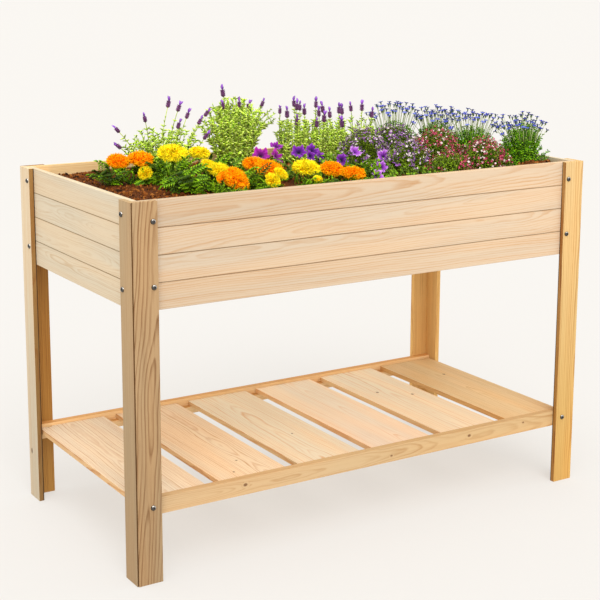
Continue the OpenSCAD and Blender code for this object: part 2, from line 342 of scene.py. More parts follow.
def wood(node, light, dark, spacing, contrast, edge, end, pith, tilt, gain=WOOD_GAIN, wander=WANDER, knots=(),
         fade=(), gap=0):
    """Solid wood in three dimensions: rings round a tilted pith, cut by the board's own faces.

    pith is the pith's place across and through the board, and tilt how far it leans over the board's length.
    A knot is its place along and across the board and its radius. fade is painted light and shade
    along the board: how bright, or how tinted, the low and the high end are. gap is the side of the board's
    thickness, -1 or 1, with painted shade along its edge that stands in for a shadow gap.
    """
    low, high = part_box(node)
    size = high - low
    order = sorted(range(3), key=lambda i: -size[i])
    halves = [size[i] / 2 for i in order]
    seed = float(sorted(NODES).index(node))
    g = Graph("wood_" + node, Specular_IOR_Level=0.25)

    axes = g.split(g.vector("SUBTRACT", g.here(), tuple((low + high) / 2)))
    along, across, through = (axes[i] for i in order)
    shifted = g.add(along, 3.7 * seed)

    def field(length, width, detail=2.0, roughness=0.5):
        """Noise whose grain has that length along the board and that width across it."""
        place = g.join(g.mul(shifted, 1 / length), g.mul(across, 1 / width), g.mul(through, 1 / width))
        return g.noise(place, detail=detail, roughness=roughness)

    def centred(*grain, **settings):
        return g.sub(field(*grain, **settings), 0.5)

    # The rings: distance from the pith, swayed, rippled, bent by the knots and unevenly spaced
    bend, core, outline = knot_fields(g, along, across, knots)
    sways = [g.mul(centred(*grain, 1.0), wander) for grain in SWAY_GRAINS]
    ripple = g.mul(centred(*RIPPLE_GRAIN), RIPPLE)
    offsets = [g.add(g.muladd(along, lean, axis), g.sub(sway, middle))
               for lean, axis, sway, middle in zip(tilt, (across, through), sways, pith)]
    radius = g.add(g.hypot(*offsets), g.muladd(bend, KNOT_PULL, ripple))
    rings = g.mul(radius, 1 / spacing)
    uneven = g.noise(g.join(g.mul(rings, 0.45), seed, 0.0), detail=1.0)
    rings = g.muladd(uneven, UNEVEN, rings)
    late = g.ramp(g.math("FRACT", rings), LATE_WOOD)
    vary = g.node("TexWhiteNoise", {"W": g.add(g.math("FLOOR", rings), seed)}, noise_dimensions="1D")
    late = g.mul(late, g.muladd(vary.outputs["Value"], 0.6, 0.4))

    # The colour: rings, streaks, fibres and a slow drift between warm and cool
    streak = centred(*STREAK_GRAIN)
    fibre = centred(*FIBRE_GRAIN, roughness=0.65)
    tone = g.muladd(late, contrast, g.mul(streak, STREAKS))
    tone = g.muladd(fibre, FIBRES, tone, clamp=True)
    colour = g.mix(tone, srgb(light, gain), srgb(dark, gain))
    drift = g.smooth(field(*DRIFT_GRAIN, 1.0), 0.3, 0.7)
    colour = g.mix(1.0, colour, g.mix(drift, WARM_DRIFT, COOL_DRIFT), "MULTIPLY")

    # Knots, end grain, board edges with painted shade on some, painted shadow gaps, painted shade at the joints,
    # and a painted highlight on the arrises
    colour = g.mix(g.mul(core, 0.85), colour, srgb(KNOT_CORE))
    colour = g.mix(g.mul(outline, 0.6), colour, srgb(KNOT_OUTLINE))
    facing = [g.math("ABSOLUTE", v) for v in g.split(g.normal())]
    on_end, on_edge = (g.smooth(facing[order[i]], 0.7, 0.95) for i in (0, 1))
    colour = g.tinted(on_end, colour, end)
    colour = g.tinted(on_edge, colour, edge)
    # Painted shade on the edge face beside the joint, standing in for a shadow gap.
    if gap:
        gap_shade = g.smooth(g.mul(through, gap), halves[2] - 2.6 * MM, halves[2] - 1.4 * MM)
        colour = g.mix(g.mul(gap_shade, on_edge), colour, srgb(GAP_SHADE))
    height_here = g.split(g.here())[2]
    # Painted shade along the joints between wall boards.
    for seam in seam_heights(node):
        away = g.math("ABSOLUTE", g.sub(height_here, seam))
        colour = g.tinted(g.smooth(away, 1.7 * MM, 0.8 * MM, 0.0, 0.72), colour, SEAM_SHADE)
    # Painted light and shade along the board: its low and high ends are made brighter, darker or tinted.
    if fade:
        ends = [tint if isinstance(tint, tuple) else (tint, tint, tint, 1) for tint in fade]
        colour = g.mix(1.0, colour, g.mix(g.smooth(along, -halves[0], halves[0]), *ends), "MULTIPLY")
    # A painted highlight along the arrises, broken up by noise.
    inset = [g.sub(half, g.math("ABSOLUTE", v)) for v, half in zip((along, across, through), halves)]
    nearest = g.math("MINIMUM", inset[0], inset[1])
    second = g.math("MAXIMUM", nearest, g.math("MINIMUM", g.math("MAXIMUM", inset[0], inset[1]), inset[2]))
    breakup = field(*BREAKUP_GRAIN)
    arris_highlight = g.mul(g.smooth(second, 1.8 * MM, 0.2 * MM), g.smooth(breakup, 0.35, 0.65, 0.2, 0.9))
    colour = g.tinted(g.mul(arris_highlight, 0.5), colour, ARRIS_HIGHLIGHT)

    height = g.muladd(core, -0.4, g.add(g.mul(late, 0.5), g.mul(fibre, 0.9)))
    return g.surface(colour, fibre, 0.62, 0.25, 0.35, 0.4, height)


def ease_edges(node):
    """Welds a CAD mesh, dissolves its flat triangles and rounds its sharp edges, by modifiers only."""
    obj = NODES[node]
    thin = min(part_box(node)[1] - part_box(node)[0])
    add_modifier(obj, "WELD", merge_threshold=0.01 * MM)
    add_modifier(obj, "DECIMATE", decimate_type="DISSOLVE", angle_limit=math.radians(1))
    add_modifier(obj, "BEVEL", width=min(0.8 * MM, 0.06 * thin), segments=2, limit_method="ANGLE",
                 angle_limit=math.radians(40))


def dress_wood():
    """Dresses every board. Those that BOARDS says nothing about get a pith that differs from board to board."""
    other = {"liner", "soil", "box_bolts", "box_inserts", "shelf_bolts", "shelf_nuts"}
    for index, node in enumerate(sorted(NODES)):
        if node in other or node.endswith("_plants"):
            continue
        look = dict(FAMILIES[max((name for name in FAMILIES if node.startswith(name)), key=len)])
        side = 1 if index % 2 else -1
        look.update(pith=(side * 0.003 * (index % 7), -0.014 - 0.004 * (index % 5)),
                    tilt=(0.003 * (index % 3) * side, 0.02 + 0.006 * (index % 4)))
        look.update(BOARDS.get(node, {}))
        dress(node, wood(node, **look))
        ease_edges(node)


# ---------------------------------------------------------------- metal

def metal(name, tint, roughness):
    """Brushed metal with cloudy patches, and painted shade on what faces down and to the left."""
    g = Graph(name, Metallic=1.0)
    cloud = g.noise(g.here(), scale=160.0, detail=3.0)
    scratch = g.noise(g.vector("MULTIPLY", g.here(), (3000.0, 400.0, 900.0)))
    clean = g.mix(g.smooth(cloud, 0.35, 0.65), srgb(tint, 0.72), srgb(tint))
    right, _, upward = g.split(g.normal())
    # Painted shade: faces that point down and to the left are darkened, so only those facing up and right stay
    # bright.
    lower_left_shade = g.smooth(g.muladd(right, 0.8, upward), 0.38, -0.04)
    return g.surface(g.mix(lower_left_shade, clean, srgb(tint, 0.16)), scratch, roughness, 0.16, 0.1, 0.05)


def dress_metal():
    zinc = metal("zinc", (206, 202, 196), 0.16)
    for node in ("box_bolts", "shelf_bolts", "shelf_nuts"):
        dress(node, zinc)
    dress("box_inserts", metal("brass", (200, 164, 92), 0.28))
    for node in ("box_bolts", "shelf_bolts"):
        add_modifier(NODES[node], "WELD", merge_threshold=0.01 * MM)
        add_modifier(NODES[node], "EDGE_SPLIT", split_angle=math.radians(40))
        mesh = NODES[node].data
        shade_smooth(mesh, [True] * len(mesh.polygons))


# ---------------------------------------------------------------- meshes made of many small parts

class Pile:
    """Triangles gathered into one mesh. A point keeps along, from base to tip, and tone, which varies by part."""

    def __init__(self):
        self.points, self.faces, self.along, self.tone = [], [], [], []
        self.count = 0

    def add(self, points, faces, along, tone):
        self.points.append(points)
        self.faces.append(faces + self.count)
        self.along.append(along)
        self.tone.append(np.broadcast_to(tone, along.shape))
        self.count += len(points)

    def scatter(self, template, turns, places, tones):
        """Copies of a template, each turned by a matrix, moved to a place and given a tone."""
        points, faces, along = template
        many = np.einsum("nij,kj->nki", turns, points) + places[:, None, :]
        offsets = (np.arange(len(places)) * len(points))[:, None, None]
        self.add(many.reshape(-1, 3), (faces[None] + offsets).reshape(-1, 3), np.tile(along, len(places)),
                 np.repeat(tones, len(points)))

    def piece(self, name, slot, material):
        """The gathered mesh as a piece of the planter."""
        points = np.concatenate(self.points).astype(np.float32)
        faces = np.concatenate(self.faces).astype(np.int32)
        mesh = bpy.data.meshes.new(name)
        mesh.vertices.add(len(points))
        mesh.vertices.foreach_set("co", points.ravel())
        mesh.loops.add(faces.size)
        mesh.loops.foreach_set("vertex_index", faces.ravel())
        mesh.polygons.add(len(faces))
        mesh.polygons.foreach_set("loop_start", np.arange(0, faces.size, 3, dtype=np.int32))
        shade_smooth(mesh, np.ones(len(faces), bool))
        for key, parts in (("along", self.along), ("tone", self.tone)):
            values = mesh.attributes.new(key, "FLOAT", "POINT")
            values.data.foreach_set("value", np.concatenate(parts).astype(np.float32))
        mesh.update()
        return add_piece(name, mesh, material)


def unit(vectors):
    return vectors / np.linalg.norm(vectors, axis=-1, keepdims=True)


def turned(forward, roll=0.0, up=(0.0, 0.0, 1.0)):
    """Matrices whose columns are side, forward and face, for parts that point forward and face up."""
    forward = unit(forward)
    side = np.cross(forward, np.broadcast_to(up, forward.shape) + np.array([1e-4, 2e-4, 0.0]))
    side = unit(side)
    face = np.cross(side, forward)
    roll = np.broadcast_to(roll, forward.shape[:1])[:, None]
    side, face = side * np.cos(roll) + face * np.sin(roll), face * np.cos(roll) - side * np.sin(roll)
    return np.stack([side, forward, face], axis=2)


def sized(turns, widths, lengths):
    """The same matrices with each part's width across, and its length along and out of its face."""
    scales = np.stack([np.broadcast_to(v, len(turns)) for v in (widths, lengths, lengths)], axis=1)
    return turns * scales[:, None, :]


def sideways(frame, turns):
    """Directions square to the forward column of a frame, or of each of many, at those turns round it."""
    return frame[..., 0] * np.cos(turns)[:, None] + frame[..., 2] * np.sin(turns)[:, None]


def skin(sides, rings):
    """Faces round a base point, rings of points and a tip point."""
    last, faces = 1 + sides * rings, []
    for k in range(sides):
        n = (k + 1) % sides
        faces.append((0, 1 + n, 1 + k))
        for a in range(1, last - sides, sides):
            b = a + sides
            faces += [(a + k, a + n, b + n), (a + k, b + n, b + k)]
        faces.append((last - sides + k, last - sides + n, last))
    return np.array(faces)


def leaf(widths, thick, curl):
    """A closed leaf of length 1 along +Y: a base point, a ring of four points per half width, and a tip."""
    fold = 0.3
    rings = len(widths)
    points, along = [(0.0, 0.0, 0.0)], [0.0]
    for i, w in enumerate(widths):
        y = (i + 1) / (rings + 1)
        z = -curl * y * y
        points += [(-w, y, z + fold * w), (0.0, y, z + thick), (w, y, z + fold * w), (0.0, y, z - thick)]
        along += [y] * 4
    points.append((0.0, 1.0, -curl))
    along.append(1.0)
    return np.array(points), skin(4, rings), np.array(along)


def sheet_patch(columns, rows, place):
    """An open grid patch. place gives a point from u across, -1 to 1, and v along, 0 to 1."""
    shares = [(i, j) for j in range(rows + 1) for i in range(columns + 1)]
    points = [place(2 * i / columns - 1, j / rows) for i, j in shares]
    faces = []
    for i, j in shares:
        if i < columns and j < rows:
            a = j * (columns + 1) + i
            b = a + columns + 1
            faces += [(a, a + 1, b + 1), (a, b + 1, b)]
    return np.array(points, float), np.array(faces), np.array([j / rows for _, j in shares])


def tube(path, radii, sides):
    """A round stem along a path, closed at both ends."""
    path = np.array(path, float)
    frames = turned(np.gradient(path, axis=0), up=(0.3, 0.2, 0.1))
    angles = np.arange(sides) * 2 * math.pi / sides
    ring = np.stack([np.cos(angles), np.zeros(sides), np.sin(angles)], axis=1)
    radii = np.broadcast_to(radii, len(path))
    rings = [place + radius * ring @ turn.T for place, turn, radius in zip(path, frames, radii)]
    points = np.concatenate([path[:1], *rings, path[-1:]])
    along = np.concatenate([[0.0], np.repeat(np.linspace(0, 1, len(path)), sides), [1.0]])
    return points, skin(sides, len(path))[:, ::-1], along


def arc(start, tip, rise):
    """A stem's path: it leaves start almost straight up and bends over to tip."""
    middle = np.array([start[0], start[1], start[2] + rise * (tip[2] - start[2])]) * 0.6 + tip * 0.4
    middle[2] = start[2] + rise * (tip[2] - start[2])
    t = np.linspace(0, 1, 7)[:, None]
    return (1 - t) ** 2 * start + 2 * t * (1 - t) * middle + t ** 2 * tip


def along_path(path, places):
    """Points and directions at the given shares of a path's length."""
    lengths = np.concatenate([[0], np.cumsum(np.linalg.norm(np.diff(path, axis=0), axis=1))])
    s = np.asarray(places) * lengths[-1]
    points, ahead, behind = (np.stack([np.interp(s + step, lengths, path[:, i]) for i in range(3)], axis=1)
                             for step in (0, 2 * MM, -2 * MM))
    return points, unit(ahead - behind)


def add_stem(pile, foot, tip, rise, thick, thin, sides, tone=(0, 1)):
    """A round stem from foot to tip, thick and thin being its radii in millimetres. Returns its path."""
    path = arc(foot, tip, rise)
    pile.add(*tube(path, np.linspace(thick, thin, len(path)) * MM, sides), rng.uniform(*tone))
    return path


def leaves_on(pile, path, template, spacing, length, width, angle, start, end=1.0, per_node=2, thin_out=0.3):
    """Leaves in opposite pairs or whorls up a stem, shorter towards its tip.

    Spacing and length are in millimetres, and the angle from the stem is in degrees.
    """
    total = np.linalg.norm(np.diff(path, axis=0), axis=1).sum()
    nodes = max(2, int(total * (end - start) / (spacing * MM)))
    shares = np.repeat(np.linspace(start, end, nodes), per_node)
    places, ahead = along_path(path, shares)
    count = len(shares)
    turn = np.arange(count) * 2 * math.pi / per_node + np.arange(count) // per_node * GOLDEN_ANGLE
    turn += rng.uniform(-0.4, 0.4, count)
    out = sideways(turned(ahead, up=(0.2, 0.1, 0.4)), turn)
    lean = np.radians(angle) * rng.uniform(0.7, 1.3, count)[:, None]
    forward = ahead * np.cos(lean) + out * np.sin(lean)
    sizes = length * MM * (1 - thin_out * shares) * rng.uniform(0.75, 1.15, count)
    turns = np.stack([np.cross(forward, ahead), forward, np.cross(np.cross(forward, ahead), forward)], axis=2)
    turns = turns / np.linalg.norm(turns, axis=1, keepdims=True)
    pile.scatter(template, sized(turns, sizes * width, sizes), places, rng.uniform(0, 1, count))


# ---------------------------------------------------------------- soil and liner

SOIL_LOW, SOIL_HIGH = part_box("soil")
SOIL_TOP = SOIL_HIGH.z
BED = Vector(((SOIL_LOW.x + SOIL_HIGH.x) / 2, (SOIL_LOW.y + SOIL_HIGH.y) / 2, SOIL_TOP))
STANDING = {node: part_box(node) for node in NODES if node.startswith(("post_", "batten_"))}
# The heap of soil in the front right corner: middle, half widths and height in millimetres
HEAP_X, HEAP_Y, HEAP_WIDE, HEAP_DEEP, HEAP_HIGH = 525, -240, 80, 56, 22
SOIL_STEP = 6 * MM
CRUMB_KINDS, CRUMBS_OF_A_KIND = 8, 1000
CRUMB_MARGIN = 8 * MM


def soil_height(x, y):
    """Height of the soil's surface: lumpy all over, and heaped up in the front right corner."""
    coarse = noise.noise(Vector((x * 9, y * 9, 0.3)))
    lumps = noise.noise(Vector((x * 42, y * 42, 1.7)))
    fine = noise.noise(Vector((x * 140, y * 140, 4.1)))
    off_x = ((x - BED.x) / MM - HEAP_X) / HEAP_WIDE
    off_y = ((y - BED.y) / MM - HEAP_Y) / HEAP_DEEP
    heap = HEAP_HIGH * max(0.0, 1 - off_x ** 2 - off_y ** 2)
    return SOIL_TOP + (0.5 + 4.0 * coarse + 3.0 * lumps + 1.6 * fine + heap) * MM


def blocked(x, y, margin):
    """True where a corner post or a middle batten stands."""
    return any(low.x - margin < x < high.x + margin and low.y - margin < y < high.y + margin
               for low, high in STANDING.values())


def soil_material():
    g = Graph("potting_soil", Specular_IOR_Level=0.15)
    place = g.here()
    grains = g.noise(place, scale=260.0, detail=4.0, roughness=0.7)
    patches = g.noise(place, scale=14.0)
    colour = g.tints(grains, [(0.30, (40, 20, 8)), (0.48, (92, 48, 14)), (0.62, (140, 76, 22)),
                              (0.78, (178, 112, 46))])
    colour = g.tinted(g.smooth(patches, 0.35, 0.7), colour, (0.62, 0.56, 0.52, 1))
    return g.surface(colour, grains, 0.75, 0.2, 0.9, 1.5)


def crumb_material():
    """Bark and coir crumbs, each with its own tone from near black to reddish brown."""
    g = Graph("soil_crumbs", Specular_IOR_Level=0.15)
    grain = g.noise(g.here(), scale=900.0)
    tone = g.muladd(g.sub(grain, 0.5), 0.35, g.attribute("tone"))
    colour = g.tints(tone, [(0.05, (44, 22, 8)), (0.4, (104, 54, 16)), (0.7, (144, 80, 26)),
                            (0.95, (168, 106, 44))])
    return g.surface(colour, grain, 0.7, 0.2, 0.5, 0.5)


def felt_material():
    g = Graph("liner_felt", Specular_IOR_Level=0.1, Sheen_Weight=0.3)
    fuzz = g.noise(g.here(), scale=1100.0, detail=3.0, roughness=0.7)
    cloud = g.noise(g.here(), scale=60.0)
    tint = g.mix(g.smooth(cloud, 0.3, 0.7), srgb((38, 38, 40)), srgb((62, 62, 64)))
    return g.surface(g.mix(g.mul(fuzz, 0.5), tint, srgb((90, 90, 92))), fuzz, 0.88, 0.1, 0.8, 0.4)


def make_soil():
    """The bed of soil: a lumpy top over a closed body, cut out round posts and battens, with crumbs on it."""
    across, deep = (int((SOIL_HIGH[i] - SOIL_LOW[i]) / SOIL_STEP) for i in (0, 1))
    xs = np.linspace(SOIL_LOW.x, SOIL_HIGH.x, across + 1)
    ys = np.linspace(SOIL_LOW.y, SOIL_HIGH.y, deep + 1)
    points = [(x, y, soil_height(x, y)) for y in ys for x in xs]
    top = []
    for j in range(deep):
        for i in range(across):
            if not blocked((xs[i] + xs[i + 1]) / 2, (ys[j] + ys[j + 1]) / 2, 2 * MM + SOIL_STEP / 2):
                a = j * (across + 1) + i
                top.append((a, a + 1, a + across + 2, a + across + 1))
    count = len(points)
    points += [(x, y, SOIL_LOW.z) for y in ys for x in xs]
    used = dict.fromkeys((face[k], face[(k + 1) % 4]) for face in top for k in range(4))
    sides = [(b, a, a + count, b + count) for a, b in used if (b, a) not in used]
    bottom = [tuple(v + count for v in reversed(face)) for face in top]
    mesh = bpy.data.meshes.new("soil_bed")
    mesh.from_pydata(points, [], top + sides + bottom)
    mesh.update()
    shade_smooth(mesh, [True] * len(top) + [False] * (len(sides) + len(bottom)))
    drop_loose_points(mesh)
    soil = add_piece("soil_bed", mesh, soil_material())
    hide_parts("soil")
    make_crumbs()


def drop_loose_points(mesh):
    bm = bmesh.new()
    bm.from_mesh(mesh)
    bmesh.ops.delete(bm, geom=[v for v in bm.verts if not v.link_faces], context="VERTS")
    bm.to_mesh(mesh)
    bm.free()


def rough_lump():
    """A crumb of 20 faces and unit radius, a little out of round."""
    t = (1 + 5 ** 0.5) / 2
    points = unit(np.array([(-1, t, 0), (1, t, 0), (-1, -t, 0), (1, -t, 0), (0, -1, t), (0, 1, t), (0, -1, -t),
                            (0, 1, -t), (t, 0, -1), (t, 0, 1), (-t, 0, -1), (-t, 0, 1)], float))
    faces = np.array([(0, 11, 5), (0, 5, 1), (0, 1, 7), (0, 7, 10), (0, 10, 11), (1, 5, 9), (5, 11, 4),
                      (11, 10, 2), (10, 7, 6), (7, 1, 8), (3, 9, 4), (3, 4, 2), (3, 2, 6), (3, 6, 8), (3, 8, 9),
                      (4, 9, 5), (2, 4, 11), (6, 2, 10), (8, 6, 7), (9, 8, 1)])
    points *= rng.uniform(0.7, 1.2, (12, 1))
    return points, faces, np.full(12, 0.5)


def make_crumbs():
    pile = Pile()
    low, high = ((corner.x + inward, corner.y + inward)
                 for corner, inward in ((SOIL_LOW, CRUMB_MARGIN), (SOIL_HIGH, -CRUMB_MARGIN)))
    for _ in range(CRUMB_KINDS):
        xy = rng.uniform(low, high, (CRUMBS_OF_A_KIND, 2))
        xy = np.array([p for p in xy if not blocked(p[0], p[1], CRUMB_MARGIN)])
        count = len(xy)
        radius = rng.gamma(2.5, 0.75, count).clip(0.8, 4.4) * MM
        heights = np.array([soil_height(x, y) for x, y in xy]) + 0.3 * radius
        turns = turned(rng.normal(size=(count, 3)), rng.uniform(0, math.tau, count))
        long, flat = rng.uniform(1.0, 2.4, count), rng.uniform(0.4, 0.8, count)
        shape = np.stack([radius, radius * long, radius * flat], 1)
        pile.scatter(rough_lump(), turns * shape[:, None, :], np.column_stack([xy, heights]),
                     rng.uniform(0, 1, count))
    crumbs = pile.piece("soil_crumbs", "potting_soil", crumb_material())
    shade_smooth(crumbs.data, [False] * len(crumbs.data.polygons))


def bed_corners(inset):
    """The planting space's outline, anticlockwise, inset from the walls, posts and battens."""
    low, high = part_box("liner")
    left, right, front, back = low.x + inset, high.x - inset, low.y + inset, high.y - inset
    gap = low.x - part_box("left_board_1")[1].x + inset
    fl, fr, bl, br = (STANDING[f"post_{c}"] for c in CORNERS)
    bf, bb = STANDING["batten_front"], STANDING["batten_back"]
    return [
        (fl[1].x + gap, front), (bf[0].x - gap, front), (bf[0].x - gap, bf[1].y + gap),
        (bf[1].x + gap, bf[1].y + gap), (bf[1].x + gap, front), (fr[0].x - gap, front),
        (fr[0].x - gap, fr[1].y + gap), (right, fr[1].y + gap), (right, br[0].y - gap),
        (br[0].x - gap, br[0].y - gap), (br[0].x - gap, back), (bb[1].x + gap, back),
        (bb[1].x + gap, bb[0].y - gap), (bb[0].x - gap, bb[0].y - gap), (bb[0].x - gap, back),
        (bl[1].x + gap, back), (bl[1].x + gap, bl[0].y - gap), (left, bl[0].y - gap),
        (left, fl[1].y + gap), (fl[1].x + gap, fl[1].y + gap),
    ]


def make_liner():
    """One sheet of felt: its bottom lies on the floor slats and its sides stand up along the walls."""
    low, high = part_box("liner")
    half_thick = 0.75 * MM
    corners = bed_corners(half_thick)
    floor = low.z + half_thick
    rows, spacing = 14, 0.015
    bm = bmesh.new()
    ring = []
    for k, (x, y) in enumerate(corners):
        nx, ny = corners[(k + 1) % len(corners)]
        steps = max(1, int(math.hypot(nx - x, ny - y) / spacing))
        ring += [(x + (nx - x) * s / steps, y + (ny - y) * s / steps) for s in range(steps)]
    levels = []
    for j in range(rows + 1):
        share = j / rows
        levels.append([])
        for x, y in ring:
            wave = 2.5 * MM * share * (noise.noise(Vector((x * 25, y * 25, share * 2))) - 0.3)
            z = floor + (high.z - floor) * share + (min(0.0, wave) if share == 1 else 0.0)
            levels[-1].append(bm.verts.new((x, y, z)))
    for lower, upper in zip(levels, levels[1:]):
        for k in range(len(ring)):
            n = (k + 1) % len(ring)
            bm.faces.new((lower[k], lower[n], upper[n], upper[k]))
    bottom = bm.faces.new(list(reversed(levels[0])))
    bmesh.ops.triangulate(bm, faces=[bottom])
    mesh = bpy.data.meshes.new("liner_sheet")
    bm.to_mesh(mesh)
    bm.free()
    sheet = add_piece("liner_sheet", mesh, felt_material())
    add_modifier(sheet, "SOLIDIFY", thickness=1.4 * MM, offset=0.0)
    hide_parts("liner")


# ---------------------------------------------------------------- what the plants share

ROOT = 4 * MM
LINEAR = leaf((0.9, 0.75), thick=0.02, curl=0.15)
OVATE = leaf((0.55, 0.95, 1.0, 0.75, 0.4), thick=0.012, curl=0.3)


def plant_material(name, stops, roughness=0.4, light=(0.6, 1.25), specular=0.3):
    """Colour from base to tip, made lighter or darker by each part's tone, with fine mottling."""
    g = Graph(name, Specular_IOR_Level=specular)
    colour = g.tints(g.attribute("along"), stops)
    mottle = g.noise(g.here(), scale=420.0)
    level = g.add(g.smooth(g.attribute("tone"), 0.0, 1.0, *light), g.muladd(mottle, 0.3, -0.15))
    return g.surface(g.mix(1.0, colour, level, "MULTIPLY"), mottle, roughness, 0.2, 0.2, 0.3)


def two_tone_material(name, first, second, share):
    """Florets of two colourings: those whose tone is over share take the second run of stops."""
    g = Graph(name, Specular_IOR_Level=0.2)
    along, tone = g.attribute("along"), g.attribute("tone")
    picked = g.mix(g.math("GREATER_THAN", tone, share), g.tints(along, first), g.tints(along, second))
    mottle = g.noise(g.here(), scale=300.0, detail=1.0)
    return g.surface(g.mix(1.0, picked, g.muladd(mottle, 0.5, 0.72), "MULTIPLY"), mottle, 0.45, 0.2, 0.2, 0.3)


def clumps(node):
    """Each separate bush of a plant node: its centre on the soil, its radius and its height."""
    mesh = NODES[node].data
    mesh.calc_loop_triangles()
    co = np.array([v.co for v in mesh.vertices])
    keys = {}
    label = np.array([keys.setdefault(tuple(np.round(p, 5)), len(keys)) for p in co])
    parent = list(range(len(keys)))

    def root(i):
        while parent[i] != i:
            parent[i] = parent[parent[i]]
            i = parent[i]
        return i

    for triangle in mesh.loop_triangles:
        a, b, c = (root(label[v]) for v in triangle.vertices)
        parent[b] = a
        parent[c] = a
    groups = {}
    for i, p in enumerate(co):
        groups.setdefault(root(label[i]), []).append(p)
    made = []
    for points in groups.values():
        low, high = np.min(points, axis=0), np.max(points, axis=0)
        made.append(((low[0] + high[0]) / 2, (low[1] + high[1]) / 2, (high[0] - low[0]) / 2, high[2] - low[2]))
    return sorted(made)


def spread_tips(x, y, radius, height, count, lowest):
    """Tips over a round bush, spaced evenly by the golden angle, with a little unevenness."""
    k = np.arange(count)
    rise = lowest + (1 - lowest) * ((k + 0.5) / count)
    turn = k * GOLDEN_ANGLE + rng.uniform(-0.3, 0.3, count)
    out = np.sqrt(1 - rise ** 2) * rng.uniform(0.85, 1.0, count)
    return np.column_stack([x + radius * out * np.cos(turn), y + radius * out * np.sin(turn),
                            SOIL_TOP + height * rise * rng.uniform(0.9, 1.0, count)])


def bed_point(x, y, z):
    """A point given in millimetres from the middle of the soil's surface."""
    return np.array([BED.x + x * MM, BED.y + y * MM, BED.z + z * MM])


def foot_of(tip, x, y, share, z=SOIL_TOP - ROOT):
    """The foot of a tip's stem, at that share of the way from the bush's middle to it."""
    return np.array([x + (tip[0] - x) * share, y + (tip[1] - y) * share, z])


def face_of(tilt, turn):
    """The way a flower looks, tilted to the front and then turned to the right, in degrees."""
    tilt, turn = math.radians(tilt), math.radians(turn)
    return np.array([math.sin(tilt) * math.sin(turn), -math.sin(tilt) * math.cos(turn), math.cos(tilt)])


def floret(cup, width=0.42):
    """A small flat or cupped flower of radius 1 that faces +Y, with five lobes and a raised middle."""
    points, faces, along = [(0.0, 0.12, 0.0)], [], [0.0]
    lobe = ((0.30, -0.5, 0.0, 0.3), (0.30, 0.5, 0.0, 0.3), (0.78, -width, cup * 0.7, 0.8),
            (0.78, width, cup * 0.7, 0.8), (1.0, 0.0, cup, 1.0))
    for k in range(5):
        for radius, turn, rise, share in lobe:
            angle = k * math.tau / 5 + turn
            points.append((radius * math.cos(angle), rise, radius * math.sin(angle)))
            along.append(share)
        a = 1 + 5 * k
        faces += [(0, a + 1, a), (a, a + 1, a + 3), (a, a + 3, a + 2), (a + 2, a + 3, a + 4)]
    return np.array(points), np.array(faces), np.array(along)


def add_florets(pile, flower, faces, sizes, spots):
    turns = turned(faces, rng.uniform(0, 6, len(spots))) * sizes[:, None, None]
    pile.scatter(flower, turns, spots, rng.uniform(0, 1, len(spots)))


# ---------------------------------------------------------------- lavender

# Loose sprigs to the left: foot x and y, then x, y and height of the flower head
LOOSE_SPRIGS = [
    (-345, 165, -427, 140, 112), (-360, 155, -431, 125, 76), (-325, 172, -353, 150, 132),
    (-305, 185, -268, 200, 158), (-290, 182, -246, 190, 148), (-270, 175, -232, 172, 132),
    (-290, 165, -267, 150, 112), (-250, 185, -171, 190, 132), (-255, 178, -195, 180, 115),
    (-235, 165, -190, 160, 80),
]
# Heads of the tall bush and of the bushes to its right, and side shoots without a head: x, y and height
TALL_HEADS = [(-123, 190, 178), (-134, 170, 150), (-81, 185, 150), (-53, 190, 142), (-10, 195, 148)]
ROW_HEADS = [
    (45, 200, 127), (45, 165, 120), (90, 205, 142), (83, 180, 136), (73, 150, 138), (115, 195, 121),
    (71, 160, 99), (159, 210, 136), (146, 175, 117), (174, 200, 123), (145, 150, 105), (189, 190, 110),
    (227, 205, 118), (213, 170, 119), (261, 200, 122), (292, 195, 122), (314, 180, 105), (130, 160, 92),
    (200, 150, 88),
]
SIDE_SHOOTS = [(18, 188, 122), (24, 195, 108), (4, 180, 134), (10, 200, 98)]
# How many leafy shoots the loose bush, the tall bush and the row have, and where the first two grow
LOOSE_SHOOTS, TALL_SHOOTS, ROW_SHOOTS = 46, 58, 108
LOOSE_X, LOOSE_Y, TALL_X, TALL_Y = -300, 168, -92, 185
HEAD_PROFILE = [(0.0, 0.35), (0.12, 0.75), (0.35, 1.0), (0.6, 0.95), (0.82, 0.7), (1.0, 0.3)]
HEAD_SCALE = leaf((0.9, 0.8), thick=0.08, curl=0.25)
HEAD_WING = leaf((0.7, 1.0, 0.85), thick=0.03, curl=-0.25)


def lavender_head(cones, wings, place, ahead, length, radius):
    """A Spanish lavender head: a barrel of small scales with a few upright wings on its tip."""
    frame3 = turned(ahead[None], rng.uniform(0, math.tau))[0]
    path = np.array([place + ahead * length * s for s, _ in HEAD_PROFILE])
    cones.add(*tube(path, np.array([radius * r * 0.8 for _, r in HEAD_PROFILE]), 7), rng.uniform(0.2, 0.5))
    for whorl in range(6):
        share = 0.05 + 0.15 * whorl
        out = sideways(frame3, np.arange(6) * math.tau / 6 + whorl * 0.5)
        forward = unit(ahead * 0.9 + out * 0.55)
        turns = sized(turned(forward, up=tuple(ahead)), radius * 0.42, length * 0.3)
        spots = place + ahead * length * share + out * radius * 0.6
        cones.scatter(HEAD_SCALE, turns, spots, rng.uniform(0, 1, 6))
    count = rng.integers(3, 6)
    out = sideways(frame3, np.arange(count) * math.tau / count + rng.uniform(0, 2))
    forward = unit(ahead + out * rng.uniform(0.15, 0.95, (count, 1)))
    turns = sized(turned(forward, up=tuple(ahead)), radius * 0.56, length * rng.uniform(0.6, 1.0, count))
    spots = np.repeat((place + ahead * length * 0.90)[None], count, 0)
    wings.scatter(HEAD_WING, turns, spots, rng.uniform(0, 1, count))


